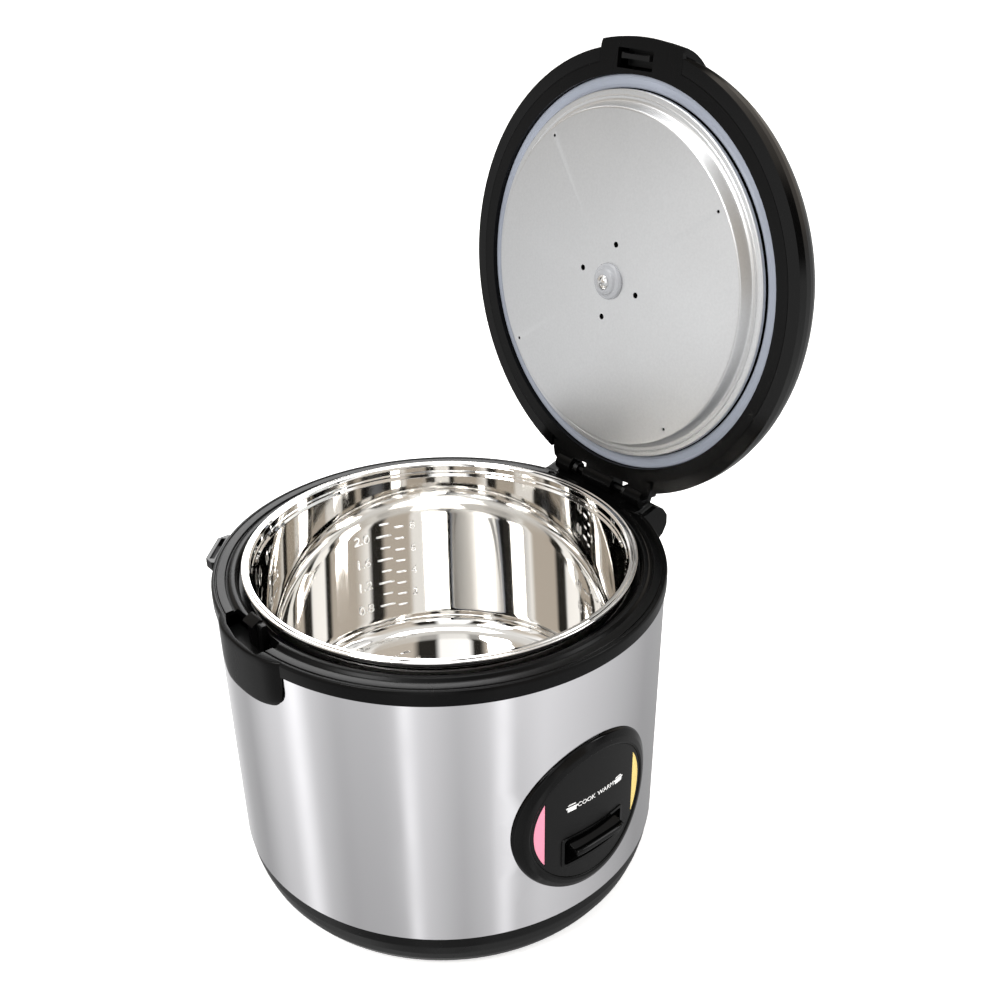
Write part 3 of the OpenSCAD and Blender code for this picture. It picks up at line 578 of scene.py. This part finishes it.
def icon(name, x0, z0, lid_raised):
    """A small pot pictogram: the pot, its two handles and its lid."""
    parts = [
        ([(-3.4, -1.9), (3.4, -1.9), (3.7, 1.3), (-3.7, 1.3)], 0),
        ([(-4.6, 0.3), (-3.8, 0.3), (-3.8, 1.3), (-4.6, 1.3)], 0),
        ([(3.8, 0.3), (4.6, 0.3), (4.6, 1.3), (3.8, 1.3)], 0),
        ([(-3.4, 1.9), (3.4, 1.9), (2.4, 2.7), (-2.4, 2.7)], lid_raised)]
    spot = on_panel(x0, z0)
    bm = bmesh.new()
    for outline, raised in parts:
        low = [bm.verts.new(Vector(spot(x * 0.86, z + raised, -0.12)) * MM) for x, z in outline]
        high = [bm.verts.new(Vector(spot(x * 0.86, z + raised, 0.12)) * MM) for x, z in outline]
        bm.faces.new(low)
        bm.faces.new(high)
        for i in range(4):
            bm.faces.new((low[i], low[(i + 1) % 4], high[(i + 1) % 4], high[i]))
    bmesh.ops.recalc_face_normals(bm, faces=bm.faces)
    piece(name, bm, "print", "housing")


icon("print_icon_cook", -17.2, 103.4, 0.5)
icon("print_icon_warm", 19.6, 103.4, 0.0)


# ---------- lid, drawn closed and placed with OPEN ----------
seal_profile = rounded([
    (113.4, 209.4), (113.4, 206.7, 0.4), (114.4, 206.3, 0.4), (115.6, 207.0, 0.5), (118.4, 207.0, 0.5),
    (119.8, 206.2, 0.4), (121.0, 206.2, 0.4), (121.4, 206.9, 0.3), (121.4, 209.4)])
piece("lid_seal", lathe(seal_profile), "gasket", "lid", "lid_gasket", place=OPEN)

PLATE_Z = LID_Z - 8.6
plate_profile = rounded([
    (0, PLATE_Z), (103.4, PLATE_Z, 1.6), (106.2, LID_Z - 1.4, 1.4), (107.6, LID_Z - 0.8, 0.8),
    (108.9, LID_Z - 0.8, 0.2), (109.4, LID_Z - 1.15, 0.2), (109.9, LID_Z - 0.8, 0.2),
    (112.4, LID_Z - 0.8, 0.5), (113.0, LID_Z - 0.2, 0.5), (113.0, LID_Z + 1.8), (112.2, LID_Z + 1.8),
    (112.2, LID_Z, 0.3), (107.2, LID_Z, 0.8), (105.3, LID_Z - 1, 1), (102.8, PLATE_Z + 0.8, 1.4),
    (0, PLATE_Z + 0.8)], steps=5)
plate = raw("inner_plate_disc", lathe(plate_profile), OPEN)
for ring_r, turn, hole in ((98.2, 143.6, 1.0), (23.7, 98.0, 1.85)):
    for k in range(4):
        x, y, z = polar(ring_r, math.radians(turn + 90 * k), PLATE_Z)
        cut(plate, prism(circle(hole, (x, y), 18), z - 3, z + 3), OPEN)
finish(plate, "plate", "lid", "inner_plate")


def below_plate(points):
    """A profile whose heights count from the plate's face."""
    return rounded([(r, PLATE_Z + z, *ease) for r, z, *ease in points], steps=5)


grommet_profile = below_plate([
    (2.3, 0.7), (2.3, -5.0, 0.4), (5.4, -5.2, 0.8), (7.6, -4.6, 1), (8.4, -2.9, 0.8), (10.6, -2.4, 0.8),
    (11.35, -0.9, 0.6), (11.35, -0.05), (6.0, -0.05), (6.0, 0.7)])
piece("grommet", lathe(grommet_profile, steps=96), "clear", "lid", "plate_grommet", place=OPEN)
screw_profile = below_plate([
    (0, 9), (0, -7.9), (1.6, -7.8, 1), (3.4, -7.0, 1), (4.6, -5.6, 0.5), (4.6, -5.25), (1.95, -5.25), (1.95, 9)])
screw = raw("centre_screw", lathe(screw_profile, steps=64), OPEN)
for w, h in ((2.1, 0.5), (0.5, 2.1)):
    cut(screw, prism([(-w, -h), (w, -h), (w, h), (-w, h)], PLATE_Z - 9, PLATE_Z - 6.4), OPEN)
finish(screw, "bright", "lid", "plate_screw")


# ---------- camera, light and floor ----------
CAMERA_PLACE = Vector((-385.0, -521.3, 596.2)) * MM
CAMERA_AIM = Vector((0.56334, 0.67854, -0.47141)).normalized()
CAMERA_ROLL = math.radians(-0.718)

cam = linked("camera", bpy.data.cameras.new("camera"))
cam.data.lens = 44.22
cam.data.sensor_width = 36
cam.data.clip_start = 0.01
level_right = CAMERA_AIM.cross(Vector((0, 0, 1))).normalized()
level_up = level_right.cross(CAMERA_AIM)
right = math.cos(CAMERA_ROLL) * level_right + math.sin(CAMERA_ROLL) * level_up
up = -math.sin(CAMERA_ROLL) * level_right + math.cos(CAMERA_ROLL) * level_up
turned = Matrix((right, up, -CAMERA_AIM)).transposed().to_4x4()
cam.matrix_world = Matrix.Translation(CAMERA_PLACE) @ turned
bpy.context.scene.camera = cam
bpy.context.scene.view_settings.view_transform = "Standard"


def area_light(name, place, target, size, power):
    data = bpy.data.lights.new(name, "AREA")
    data.shape = "RECTANGLE"
    data.size, data.size_y = size
    data.energy = power
    o = linked(name, data)
    o.location = place
    o.rotation_euler = (Vector(target) - Vector(place)).to_track_quat("-Z", "Y").to_euler()


area_light("key", (-1.3, -0.2, 1.5), (0, 0, 0.15), (0.5, 0.8), 16)
area_light("fill", (1.1, -1.3, 1.0), (0, 0, 0.15), (0.5, 1.2), 10)
area_light("top", (0.2, 0.3, 2.4), (0, 0, 0.1), (1.2, 1.2), 20)
area_light("rear", (0.9, 1.5, 1.3), (0, 0, 0.25), (1.0, 0.6), 12)

# a studio surround that only reflections and light see: strips of light and shade low down for the steel,
# panels above for the pot, and a pale roof
world = bpy.data.worlds.new("studio")
bpy.context.scene.world = world
world.use_nodes = True
tree = world.node_tree
join = tree.links.new


def world_node(kind, **values):
    n = tree.nodes.new(kind)
    for k, v in values.items():
        setattr(n, k, v)
    return n


def world_range(source, from_min, from_max, to_min=0, to_max=1):
    n = world_node("ShaderNodeMapRange")
    for k, v in (("From Min", from_min), ("From Max", from_max), ("To Min", to_min), ("To Max", to_max)):
        n.inputs[k].default_value = v
    join(source, n.inputs["Value"])
    return n.outputs["Result"]


def world_ramp(source, stops):
    """Stops of (degrees round the object, colour), where a number is a grey."""
    n = world_node("ShaderNodeValToRGB")
    elements = n.color_ramp.elements
    while len(elements) < len(stops):
        elements.new(0.5)
    for element, (degrees, colour) in zip(elements, stops):
        element.position = (degrees + 180) / 360
        element.color = (*colour, 1) if isinstance(colour, tuple) else (colour, colour, colour, 1)
    join(source, n.inputs["Fac"])
    return n.outputs["Color"]


def world_mix(factor, a, b, blend="MIX"):
    """Mixes two colours; each argument is a socket or a fixed value."""
    n = world_node("ShaderNodeMix", data_type="RGBA", blend_type=blend)
    for value, socket in ((factor, n.inputs[0]), (a, n.inputs[6]), (b, n.inputs[7])):
        if isinstance(value, bpy.types.NodeSocket):
            join(value, socket)
        else:
            socket.default_value = value
    return n.outputs[2]


WARM = (0.66, 0.6, 0.53)
DARK = (0.03, 0.028, 0.025)
ROOF = (0.85, 0.84, 0.82, 1)

direction = world_node("ShaderNodeSeparateXYZ")
join(world_node("ShaderNodeTexCoord").outputs["Generated"], direction.inputs[0])
height = direction.outputs["Z"]
turn = world_node("ShaderNodeMath", operation="ARCTAN2")
join(direction.outputs["Y"], turn.inputs[0])
join(direction.outputs["X"], turn.inputs[1])
azimuth = world_range(turn.outputs[0], -math.pi, math.pi)

low = world_ramp(azimuth, (
    (-180, 0.60), (-162, 0.64), (-153, 0.72), (-148, 1.35), (-142, 0.90), (-121, 0.62), (-105, 0.80),
    (-98, 1.35), (-91, 0.78), (-76, 0.92), (-58, 0.80), (0, 0.42), (40, 0.42), (74, 0.90), (95, 0.55),
    (110, 0.46), (128, 0.78), (140, 0.86), (150, 1.4), (160, 0.78), (174, 0.58)))
high = world_ramp(azimuth, (
    (-180, WARM), (-158, WARM), (-154, DARK), (-149, DARK), (-145, 1.5), (-124, 1.4), (-120, DARK),
    (-108, DARK), (-103, WARM), (-72, WARM), (-66, 1.3), (-45, DARK), (-22, DARK), (-12, WARM), (24, WARM),
    (30, DARK), (52, DARK), (58, 1.2), (88, 1.2), (94, WARM), (124, WARM), (130, DARK), (142, DARK),
    (148, 1.3), (166, WARM)))
low = world_mix(1.0, low, world_range(height, -0.78, -0.56, 0.68, 1.0), "MULTIPLY")
high = world_mix(world_range(height, 0.72, 0.9), high, ROOF)
surround = tree.nodes["Background"]
join(world_mix(world_range(height, -0.06, 0.06), low, high), surround.inputs["Color"])

# the camera sees plain white in place of the surround
backdrop = world_node("ShaderNodeBackground")
backdrop.inputs["Color"].default_value = (1, 1, 1, 1)
either = world_node("ShaderNodeMixShader")
join(world_node("ShaderNodeLightPath").outputs["Is Camera Ray"], either.inputs["Fac"])
join(surround.outputs[0], either.inputs[1])
join(backdrop.outputs[0], either.inputs[2])
join(either.outputs[0], tree.nodes["World Output"].inputs["Surface"])

FLOOR_REACH = 30
corners = [(-1, -1), (1, -1), (1, 1), (-1, 1)]
floor_mesh = bpy.data.meshes.new("floor")
floor_mesh.from_pydata([(x * FLOOR_REACH, y * FLOOR_REACH, 0) for x, y in corners], [], [(0, 1, 2, 3)])
floor = linked("floor", floor_mesh)
paper = Nodes("floor_paper")
paper.colour(paper.noise(paper.coords(), 3, 2), (0.95, 0.95, 0.95), (0.97, 0.97, 0.97))
paper.set(Roughness=0.9, Specular_IOR_Level=0.0, Emission_Color=(1, 1, 1, 1), Emission_Strength=0.6)
floor_mesh.materials.append(paper.mat)
floor.visible_glossy = False
